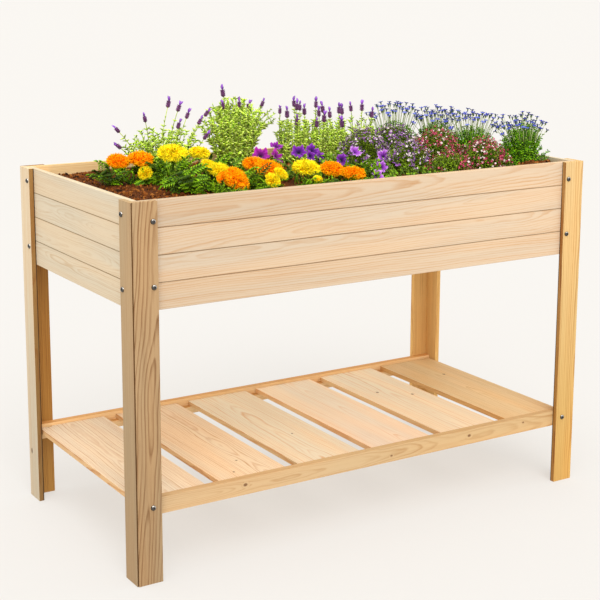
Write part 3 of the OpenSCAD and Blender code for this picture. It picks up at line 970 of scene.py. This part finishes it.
def lavender_stem(piles, foot, tip, bare, spacing, length, width, angle, rise=0.62):
    """One sprig from foot to tip. It ends in a bare part and a head, or in a tuft of leaves if bare is 0."""
    stems, leaves, cones, wings = piles
    path = add_stem(stems, bed_point(*foot), bed_point(*tip), rise, 1.5, 0.9, 5)
    leaves_on(leaves, path, LINEAR, spacing, length, width, angle, start=0.06, end=1 - bare)
    if bare:
        _, ahead = along_path(path, [0.97])
        size = rng.uniform(0.88, 1.12)
        lavender_head(cones, wings, path[-1] - ahead[0] * 6 * MM, ahead[0], 16 * MM * size, 4.4 * MM * size)
    else:
        leaves_on(leaves, path, LINEAR, 2.0, 9, 0.13, 20, start=0.96, per_node=3)


def make_lavender():
    piles = [Pile() for _ in range(4)]
    for foot_x, foot_y, *head in LOOSE_SPRIGS:
        lavender_stem(piles, (foot_x, foot_y, -4), head, 0.20, 9, 17, 0.062, 50)
    for k in range(LOOSE_SHOOTS):
        share = (k + 0.5) / LOOSE_SHOOTS
        turn, out = k * GOLDEN_ANGLE, 15 + 62 * math.sqrt(share)
        x, y = LOOSE_X + 1.25 * out * math.cos(turn), LOOSE_Y + 0.7 * out * math.sin(turn)
        tip = (x, y, (104 - 46 * share) * rng.uniform(0.7, 1.1))
        foot = (LOOSE_X + (x - LOOSE_X) * 0.5, LOOSE_Y + (y - LOOSE_Y) * 0.5, -4)
        lavender_stem(piles, foot, tip, 0.0, 6.5, 19, 0.050, 42)
    for x, y, height in TALL_HEADS:
        foot = (TALL_X + (x - TALL_X) * 0.4, TALL_Y + (y - TALL_Y) * 0.4, -4)
        lavender_stem(piles, foot, (x, y, height), 0.08, 5, 16, 0.06, 42)
    for k in range(TALL_SHOOTS):
        share = (k + 0.5) / TALL_SHOOTS
        turn, out = k * GOLDEN_ANGLE, 72 * math.sqrt(share)
        x, y = TALL_X - 4 + 1.2 * out * math.cos(turn), TALL_Y + 0.85 * out * math.sin(turn)
        tip = (x, y, (164 - 66 * share ** 1.4) * rng.uniform(0.86, 1.03))
        foot = (TALL_X + (x - TALL_X) * 0.42, TALL_Y + (y - TALL_Y) * 0.42, -4)
        lavender_stem(piles, foot, tip, 0.0, 5.6, 20, 0.050, 34)
    for tip in SIDE_SHOOTS:
        lavender_stem(piles, (-75, 186, 10), tip, 0.0, 6, 15, 0.06, 40, 0.75)
    for x, y, height in ROW_HEADS:
        foot = (x + rng.uniform(-10, 10), y * 0.8 + 34, -4)
        lavender_stem(piles, foot, (x, y, height), 0.12, 6, 15, 0.06, 44)
    for k in range(ROW_SHOOTS):
        share = (k + 0.5) / ROW_SHOOTS
        x = 34 + 286 * share + rng.uniform(-12, 12)
        y = 178 + rng.uniform(-46, 40)
        foot = (x + rng.uniform(-12, 12), y * 0.8 + 36, -4)
        lavender_stem(piles, foot, (x, y, (96 - 14 * share) * rng.uniform(0.5, 1.1)), 0.0, 6, 18, 0.050, 38)
    looks = (
        ("stem", "stems", [(0.0, (150, 160, 50)), (1.0, (192, 210, 96))], dict(light=(0.7, 1.2))),
        ("leaf", "leaves", [(0.0, (130, 182, 18)), (0.5, (198, 238, 58)), (1.0, (248, 255, 146))],
         dict(roughness=0.5, light=(0.5, 1.85))),
        ("cone", "heads", [(0.0, (136, 112, 66)), (0.4, (118, 72, 104)), (1.0, (156, 84, 172))], {}),
        ("wing", "wings", [(0.0, (138, 66, 190)), (1.0, (178, 116, 226))], dict(light=(0.8, 1.2))),
    )
    pieces = [pile.piece("lavender_" + plural, "lavender", plant_material("lavender_" + one, stops, **more))
              for pile, (one, plural, stops, more) in zip(piles, looks)]
    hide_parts("lavender_plants")


# ---------------------------------------------------------------- marigolds

# Heads: x, y and height of the middle, width, tilt of the face towards the front, turn of that tilt to the
# right, and 1 for orange or 0 for yellow
MARIGOLD_HEADS = [
    (-460, 70, 52, 50, 20, -10, 1), (-416, 45, 57, 56, 10, 10, 1), (-392, -70, 81, 65, 8, 0, 0),
    (-295, -10, 69, 48, 10, 15, 0), (-420, 15, 29, 33, 62, -50, 0), (-305, -70, 51, 34, 20, 20, 0),
    (-305, -120, 44, 50, 16, 10, 0), (-308, -205, 34, 60, 50, 25, 1), (-326, -185, 36, 36, 45, -40, 1),
    (-204, -100, 48, 52, 10, -10, 1), (-189, -140, 41, 62, 18, 15, 1), (-191, -195, 38, 34, 35, 40, 0),
    (-228, -222, 29, 36, 50, 0, 0), (-107, -165, 40, 60, 8, 0, 0), (-123, -240, 26, 22, 30, 0, 0),
    (-50, -185, 36, 54, 12, 0, 1), (-15, -222, 28, 52, 8, 5, 1),
]
# No leaves to the left of this x, where the soil is bare
MARIGOLD_LEFT = -488


def pinnate():
    """A feathery leaf: a midrib with five pairs of narrow leaflets and one at the tip."""
    pile = Pile()
    leaflet = leaf((0.6, 1.0, 0.7), thick=0.03, curl=0.2)
    middle = np.array([0.5])
    rib = np.array([(0, y, -0.22 * y * y) for y in np.linspace(0, 0.9, 5)])
    pile.add(*tube(rib, np.linspace(0.012, 0.006, 5), 4), 0.5)
    for k in range(5):
        y = 0.2 + 0.15 * k
        for side in (-1, 1):
            turns = sized(turned(np.array([[side * 0.9, 0.75, 0.05]])), 0.052, 0.38 - 0.03 * k)
            pile.scatter(leaflet, turns, np.array([[0, y, -0.22 * y * y]]), middle)
    turns = sized(turned(np.array([[0, 1, -0.4]])), 0.055, 0.34)
    pile.scatter(leaflet, turns, np.array([[0, 0.88, -0.17]]), middle)
    return np.concatenate(pile.points), np.concatenate(pile.faces), np.concatenate(pile.along)


def marigold_petal():
    """A short broad petal with a frilled tip that curls up."""
    def place(u, v):
        width = 0.45 + 0.55 * math.sin(min(1.0, v * 1.3) * math.pi / 2)
        frill = v * v * math.cos(u * 2.0 * math.pi)
        return (u * width, v + 0.14 * frill, 0.42 * frill + 0.35 * v ** 2.5)
    return sheet_patch(6, 3, place)


def marigold_head(petals, green, x, y, height, width, tilt, turn):
    """A pompon: frilled petals that overlap like tiles over a low dome, on a green cup and a stalk."""
    face = face_of(tilt, turn)
    centre = bed_point(x, y, height)
    half = width / 2 * MM
    count = int(90 + 5.4 * width)
    k = np.arange(count)
    polar = (math.radians(120) * ((k + 0.5) / count) ** 0.58)[:, None]
    around = (k * GOLDEN_ANGLE + rng.uniform(-0.5, 0.5, count))[:, None]
    frame3 = turned(np.array([[1.0, 0.1, 0.0]]) - face * face[0], up=tuple(face))[0]
    ring = frame3[:, 0] * np.cos(around) + frame3[:, 1] * np.sin(around)
    surface = ring * np.sin(polar) * 0.88 + face * (np.cos(polar) * 0.46 - 0.02)
    normal = unit(ring * np.sin(polar) + face * np.cos(polar) * 1.5)
    down = unit(ring * np.cos(polar) - face * np.sin(polar) * 0.5)
    forward = unit(normal + down * (0.05 + 0.30 * np.sin(polar)) + rng.normal(0, 0.20, (count, 3)))
    size = half * 0.36 * rng.uniform(0.86, 1.10, count)
    spin = turned(forward, rng.uniform(0, math.tau, count))
    places = centre + surface * half - forward * size[:, None] * 0.86
    petals.scatter(marigold_petal(), sized(spin, size * 0.52, size), places, rng.uniform(0, 1, count))
    neck = centre - face * half * 0.55
    add_stem(green, bed_point(x * 0.97 - 3, y * 0.97 + 4, -4), neck, 0.7, 2.4, 1.7, 6, (0.3, 0.8))
    cup = np.array([neck - face * 3 * MM, neck + face * half * 0.1, neck + face * half * 0.35])
    green.add(*tube(cup, np.array([2.2 * MM, half * 0.32, half * 0.5]), 8), 0.4)


def under_heads(tip):
    """The same tip, lowered where a marigold head is over it or just behind it."""
    for x, y, height, width, *_ in MARIGOLD_HEADS:
        front = 1 if y < -60 else 0.4
        head = bed_point(x - 15 * front, y - 25 * front, height - 0.30 * width - 19 * front)
        if math.hypot(tip[0] - head[0], tip[1] - head[1]) < (0.5 * width + 6 + 18 * front) * MM:
            tip = np.array([tip[0], tip[1], max(SOIL_TOP + 9 * MM, min(tip[2], head[2]))])
    return tip


def make_marigolds():
    orange, yellow, green, leaves = (Pile() for _ in range(4))
    for *head, is_orange in MARIGOLD_HEADS:
        marigold_head(orange if is_orange else yellow, green, *head)
    feather = pinnate()
    for x, y, radius, height in clumps("marigold_plants"):
        for tip in spread_tips(x, y, radius * 0.80, height * 0.68, 25, lowest=0.12):
            tip = under_heads(tip)
            if tip[0] < BED.x + MARIGOLD_LEFT * MM:
                continue
            path = add_stem(green, foot_of(tip, x, y, 0.15), tip, 0.75, 1.7, 1.0, 5)
            reach = min(44, 24 + 0.55 * (tip[2] - SOIL_TOP) / MM)
            leaves_on(leaves, path, feather, 0.34 * reach, reach, 1.0, 62, start=0.35, thin_out=0.1)
    petal = dict(roughness=0.6, specular=0.06)
    # The petal ramps run from dark at the base to bright at the tip: partly the petals' own colour, partly
    # painted shade deep in the pompon and painted light on the tips.
    looks = (
        (orange, "marigold_orange_petals", "marigold_orange", [
            (0.0, (214, 60, 0)), (0.6, (255, 110, 0)), (0.85, (255, 154, 0)), (1.0, (255, 188, 10))],
         dict(petal, light=(0.95, 1.35))),
        (yellow, "marigold_yellow_petals", "marigold_yellow", [
            (0.0, (206, 126, 0)), (0.6, (250, 196, 0)), (0.85, (255, 230, 0)), (1.0, (255, 246, 50))],
         dict(petal, light=(0.9, 1.25))),
        (green, "marigold_stalks", "marigold_stalk", [(0.0, (84, 104, 26)), (1.0, (120, 156, 44))], {}),
        (leaves, "marigold_leaves", "marigold_leaf", [
            (0.0, (40, 68, 0)), (0.5, (80, 122, 0)), (1.0, (152, 194, 10))], dict(light=(0.3, 2.2))),
    )
    pieces = [pile.piece(name, "marigold", plant_material(look, stops, **more))
              for pile, name, look, stops, more in looks]
    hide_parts("marigold_plants")


# ---------------------------------------------------------------- petunias

# Blooms: x, y and height of the middle, radius, tilt and turn in degrees, and the tint from 0, magenta, over
# 0.5, deep violet, to 1, pale
PETUNIA_BLOOMS = [
    (-145, -30, 59, 19, 45, -20, 0.05), (-73, 20, 69, 15, 25, 0, 0.25), (-118, -60, 56, 17, 60, 30, 0.0),
    (-42, -30, 59, 17, 45, -30, 0.45), (-2, -30, 58, 17, 55, 10, 0.4), (-3, -70, 46, 16, 60, 35, 0.5),
    (-28, -62, 50, 12, 70, 10, 0.5), (22, -120, 44, 15, 70, 0, 0.55), (114, -40, 50, 15, 45, 10, 0.8),
    (165, -85, 40, 16, 60, -20, 0.75), (186, -108, 31, 16, 65, 25, 0.7), (106, -160, 28, 14, 55, -10, 0.75),
    (38, -242, 22, 15, 60, 0, 1.0), (90, -150, 29, 10, 40, 20, 0.8),
]
# Low shoots between the petunias and the front wall: x, y and height of their tips
RUNNERS = [(66, -258, 20), (90, -232, 22), (118, -262, 20), (140, -240, 24), (160, -266, 20), (178, -246, 24),
           (196, -268, 20), (150, -200, 26), (185, -215, 26)]


def petunia_bloom():
    """A ruffled trumpet of radius 1 that opens along +Y, with five shallow lobes."""
    def place(u, v):
        turn = u * math.pi
        lobe = 1 + 0.13 * math.cos(5 * turn) * v * v
        flare = v ** 1.5
        radius = (0.10 + 0.90 * flare) * lobe
        ruffle = 0.20 * flare * math.sin(11 * turn) + 0.15 * flare * math.sin(5 * turn + 1)
        depth = -0.75 * (1 - v) ** 1.6 - 0.10 * v ** 3 + ruffle * v
        return (radius * math.cos(turn), depth, radius * math.sin(turn))
    return sheet_patch(44, 7, place)


def petunia_material():
    """Velvety petals with a near-black throat, fine veins and a lighter edge, tinted by each bloom's tone."""
    g = Graph("petunia_bloom", Specular_IOR_Level=0.15, Sheen_Weight=0.2)
    along = g.attribute("along")
    magenta, violet, pale = (g.tints(along, list(zip((0.0, 0.35, 0.75, 1.0), run))) for run in (
        ((40, 4, 40), (96, 8, 96), (156, 20, 150), (184, 44, 172)),
        ((24, 4, 40), (54, 8, 90), (108, 24, 150), (156, 66, 196)),
        ((56, 14, 84), (136, 40, 176), (190, 96, 220), (228, 176, 242))))
    tone = g.attribute("tone")
    colour = g.mix(g.smooth(tone, 0.1, 0.4), magenta, violet)
    colour = g.mix(g.smooth(tone, 0.5, 0.95), colour, pale)
    veins = g.noise(g.vector("MULTIPLY", g.here(), (420.0, 420.0, 420.0)), detail=3.0)
    colour = g.mix(g.smooth(veins, 0.50, 0.68, 0.0, 0.45), colour, srgb((64, 10, 92)))
    return g.surface(colour, veins, 0.55, 0.2, 0.3, 0.4)


def make_petunias():
    blooms, stems, leaves = (Pile() for _ in range(3))
    template = petunia_bloom()
    for x, y, height, radius, tilt, turn, tint in PETUNIA_BLOOMS:
        face = face_of(tilt, turn)
        centre = bed_point(x, y, height)
        turns = turned(face[None], rng.uniform(0, math.tau)) * (radius * MM)
        blooms.scatter(template, turns, centre[None], np.array([tint]))
        throat = centre - face * radius * 0.74 * MM
        add_stem(stems, bed_point(x * 0.9, y * 0.9, -4), throat - face * 4 * MM, 0.6, 1.6, 1.2, 5)
        cup = np.array([throat - face * back * MM for back in (6, 2, 0.5)])
        stems.add(*tube(cup, np.array([1.4, 2.2, 1.6]) * MM, 7), 0.6)
    for x, y, radius, height in clumps("petunia_plants"):
        for tip in spread_tips(x, y, radius * 0.95, height * 0.74, 24, lowest=0.2):
            path = add_stem(stems, foot_of(tip, x, y, 0.2), tip, 0.7, 1.5, 0.9, 5)
            leaves_on(leaves, path, OVATE, 8, 19, 0.27, 58, start=0.2)
    for x, y, height in RUNNERS:
        path = add_stem(stems, bed_point(x * 0.9, y * 0.9, -4), bed_point(x, y, height), 0.6, 1.4, 0.9, 5)
        leaves_on(leaves, path, OVATE, 5, 17, 0.27, 62, start=0.2)
    blooms.piece("petunia_blooms", "petunia", petunia_material())
    stems.piece("petunia_stems", "petunia", plant_material(
        "petunia_stem", [(0.0, (104, 84, 50)), (1.0, (140, 156, 60))]))
    foliage = leaves.piece("petunia_leaves", "petunia", plant_material(
        "petunia_leaf", [(0.0, (64, 102, 8)), (0.5, (110, 154, 12)), (1.0, (162, 196, 32))], light=(0.5, 1.4)))
    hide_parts("petunia_plants")


# ---------------------------------------------------------------- pink and blue flowers

# The low bushes from left to right: 1 for magenta florets or 0 for purple, and how densely they flower
BUSHES = [(0, 1.0), (0, 0.55), (1, 0.3), (0, 1.0), (1, 1.0), (1, 0.85)]
# The cushions of blue flowers from left to right: how high the green part is beside the flowers, how wide the
# flowers spread, how much taller they stand than the bush, and how far to its back in metres
CUSHIONS = [(0.66, 1.28, 1.09, 0.0), (0.66, 1.28, 1.02, 0.0), (0.88, 1.12, 1.10, 0.022), (0.62, 1.28, 1.0, 0.0)]
CUSHION_FRONT = -218
BLUE_FLOWERS = 62
FLORET_WHITE, FLORET_GOLD = (252, 240, 236), (250, 206, 80)


def make_pink_flowers(leaf_look):
    """Low spreading bushes thick with small two-coloured florets, purple on the left, magenta on the right."""
    purple, magenta, stems = (Pile() for _ in range(3))
    flower = floret(0.12)
    pieces = []
    for (x, y, radius, height), (is_magenta, bloom) in zip(clumps("pink_flower_plants"), BUSHES):
        leaves = Pile()
        for tip in spread_tips(x, y, radius * 1.16, height * 1.04, 92, lowest=0.10):
            path = add_stem(stems, foot_of(tip, x, y, 0.25), tip, 0.65, 0.9, 0.5, 4)
            leaves_on(leaves, path, LINEAR, 4.5, 11, 0.17, 55, start=0.2, end=0.97)
            if rng.uniform() > bloom:
                continue
            centre = np.array([x, y, SOIL_TOP + 0.2 * height])
            outward = unit((tip - centre)[None])
            count = rng.integers(7, 13)
            spots = tip + rng.normal(0, 5.5 * MM, (count, 3)) + outward * 3 * MM
            facing = unit(outward + rng.normal(0, 0.5, (count, 3)))
            size = rng.uniform(2.3, 3.7, count) * MM
            add_florets(magenta if is_magenta else purple, flower, facing, size, spots)
            for spot in spots:
                end = spot - facing.mean(0) * 0.5 * MM
                stalk = np.array([tip - outward[0] * 4 * MM, (tip + spot) / 2, end])
                stems.add(*tube(stalk, 0.3 * MM, 3), rng.uniform(0, 1))
        pieces.append(leaves.piece(f"pink_flower_leaves_{len(pieces) + 1}", "pink_flower", leaf_look))
    purple.piece("purple_florets", "pink_flower", two_tone_material(
        "purple_floret",
        [(0.0, FLORET_GOLD), (0.2, (196, 150, 200)), (0.45, (136, 78, 160)), (1.0, (108, 58, 140))],
        [(0.0, FLORET_GOLD), (0.3, FLORET_WHITE), (1.0, (240, 226, 238))], 0.72))
    magenta.piece("magenta_florets", "pink_flower", two_tone_material(
        "magenta_floret",
        [(0.0, FLORET_GOLD), (0.2, (226, 120, 170)), (0.45, (182, 16, 80)), (1.0, (154, 8, 60))],
        [(0.0, FLORET_GOLD), (0.3, FLORET_WHITE), (1.0, (250, 206, 222))], 0.80))
    stems.piece("pink_flower_stems", "pink_flower", plant_material(
        "pink_flower_stem", [(0.0, (104, 96, 48)), (1.0, (132, 150, 60))]))
    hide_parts("pink_flower_plants")


def make_blue_flowers(leaf_look):
    """Bright green cushions with a flat canopy of small blue flowers above them on thin pale stems."""
    blooms, cups, stems, necks = (Pile() for _ in range(4))
    flower = floret(0.42, 0.5)
    pieces = []
    for (x, y, radius, height), (share, spread, taller, back) in zip(clumps("blue_flower_plants"), CUSHIONS):
        leaves = Pile()
        cushion = height * share
        for tip in spread_tips(x, y, radius * 1.25, cushion, int(cushion / MM * 1.8), lowest=0.10):
            if tip[1] < BED.y + CUSHION_FRONT * MM:
                continue
            path = add_stem(stems, foot_of(tip, x, y, 0.3), tip, 0.65, 0.9, 0.5, 4, (0, 0.4))
            leaves_on(leaves, path, LINEAR, 4.5, 11, 0.17, 50, start=0.2)
        k = np.arange(BLUE_FLOWERS)
        outer = (k + 0.5) / BLUE_FLOWERS
        out = radius * spread * np.sqrt(outer)
        lift = height * taller * (1.0 - 0.24 * outer ** 1.5) * rng.uniform(0.76, 1.0, BLUE_FLOWERS)
        for o, t, h in zip(out, k * GOLDEN_ANGLE, lift):
            tip = np.array([x + o * math.cos(t), y + back + o * math.sin(t), SOIL_TOP + h])
            path = add_stem(necks, foot_of(tip, x, y, 0.66, SOIL_TOP + cushion * 0.6), tip, 0.6, 0.65, 0.55, 4)
            _, ahead = along_path(path, [0.95])
            facing = unit(ahead + rng.normal(0, 0.12, (1, 3)) + np.array([[0, 0, 0.8]]))
            add_florets(blooms, flower, facing, rng.uniform(6.0, 8.2, 1) * MM, tip[None])
            cup = np.array([tip - facing[0] * down * MM for down in (6.5, 3, -0.5)])
            cups.add(*tube(cup, np.array([0.6, 1.9, 1.5]) * MM, 6), rng.uniform(0, 1))
        pieces.append(leaves.piece(f"blue_flower_leaves_{len(pieces) + 1}", "blue_flower", leaf_look))
    blooms.piece("blue_blooms", "blue_flower", two_tone_material(
        "blue_bloom",
        [(0.0, (200, 206, 226)), (0.15, (80, 90, 186)), (0.6, (58, 66, 176)), (1.0, (50, 54, 160))],
        [(0.0, (226, 228, 226)), (0.2, (108, 120, 208)), (1.0, (80, 94, 198))], 0.7))
    for pile, part, first, last, light in (
            (cups, "cup", (84, 112, 40), (84, 104, 62), (0.6, 1.25)),
            (stems, "stem", (84, 110, 40), (100, 140, 50), (0.6, 1.25)),
            (necks, "neck", (156, 178, 100), (192, 202, 148), (0.8, 1.15))):
        pile.piece(f"blue_flower_{part}s", "blue_flower", plant_material(
            "blue_flower_" + part, [(0.0, first), (1.0, last)], light=light))
    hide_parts("blue_flower_plants")


# ---------------------------------------------------------------- stage, light and camera

BACKDROP = srgb((250, 247, 242))
FLOOR_OWN_LIGHT = 0.584
FLOOR_SHARE = 0.28
FLOOR_REACH = 300.0
# Lamps: name, azimuth from the front towards the right, elevation, strength, and how wide each looks in degrees
LAMPS = (("key", -15, 50, 1.0, 36), ("fill", -28, 24, 1.2, 60), ("top", -70, 78, 0.4, 36))
# The camera: where it stands, its heading from +Y towards +X, its pitch and its roll in degrees, and its lens
CAMERA_PLACE = (-1.735, -2.743, 1.267)
CAMERA_TURNS = (32.03, -10.67, 0.22)
CAMERA_LENS = dict(sensor_width=36.0, lens=82.08, shift_y=-0.12, clip_end=1000.0)


def make_stage():
    """A pale floor without an edge. Most of its brightness is its own, so that shadows on it stay light."""
    mesh = bpy.data.meshes.new("floor")
    square = ((-1, -1), (1, -1), (1, 1), (-1, 1))
    mesh.from_pydata([(x * FLOOR_REACH, y * FLOOR_REACH, -0.5 * MM) for x, y in square], [], [(0, 1, 2, 3)])
    floor = add_object("floor", mesh)
    mesh.materials.append(Graph(
        "floor", Specular_IOR_Level=0.0, Roughness=1.0, Base_Color=srgb((252, 250, 248), FLOOR_SHARE),
        Emission_Color=BACKDROP, Emission_Strength=FLOOR_OWN_LIGHT).material)


def make_light():
    scene = bpy.context.scene
    scene.view_settings.view_transform = "Standard"
    world = bpy.data.worlds.new("studio")
    world.use_nodes = True
    background = world.node_tree.nodes["Background"]
    background.inputs["Color"].default_value = BACKDROP
    background.inputs["Strength"].default_value = 1.0
    scene.world = world
    for name, azimuth, elevation, strength, width in LAMPS:
        lamp = bpy.data.lights.new(name, "SUN")
        lamp.energy = strength
        lamp.angle = math.radians(width)
        light = add_object(name, lamp)
        a, e = math.radians(azimuth), math.radians(elevation)
        from_there = Vector((math.sin(a) * math.cos(e), -math.cos(a) * math.cos(e), math.sin(e)))
        light.rotation_mode = "QUATERNION"
        light.rotation_quaternion = from_there.to_track_quat("Z", "Y")


def make_camera():
    heading, pitch, roll = (math.radians(v) for v in CAMERA_TURNS)
    data = bpy.data.cameras.new("camera")
    for key, value in CAMERA_LENS.items():
        setattr(data, key, value)
    camera = add_object("camera", data)
    forward = Vector((math.cos(pitch) * math.sin(heading), math.cos(pitch) * math.cos(heading),
                      math.sin(pitch)))
    level = Vector((math.cos(heading), -math.sin(heading), 0))
    upward = level.cross(forward)
    right = math.cos(roll) * level + math.sin(roll) * upward
    up = math.cos(roll) * upward - math.sin(roll) * level
    turn = Matrix((right, up, -forward)).transposed().to_4x4()
    camera.matrix_world = Matrix.Translation(CAMERA_PLACE) @ turn
    bpy.context.scene.camera = camera


make_camera()
make_light()
make_stage()
dress_wood()
dress_metal()
make_liner()
make_soil()
make_lavender()
make_marigolds()
make_petunias()
make_pink_flowers(plant_material(
    "pink_flower_leaf", [(0.0, (68, 102, 2)), (0.5, (112, 148, 6)), (1.0, (160, 184, 28))], light=(0.45, 1.6)))
make_blue_flowers(plant_material(
    "blue_flower_leaf", [(0.0, (54, 114, 0)), (0.5, (106, 176, 4)), (1.0, (176, 222, 24))], light=(0.4, 1.7)))
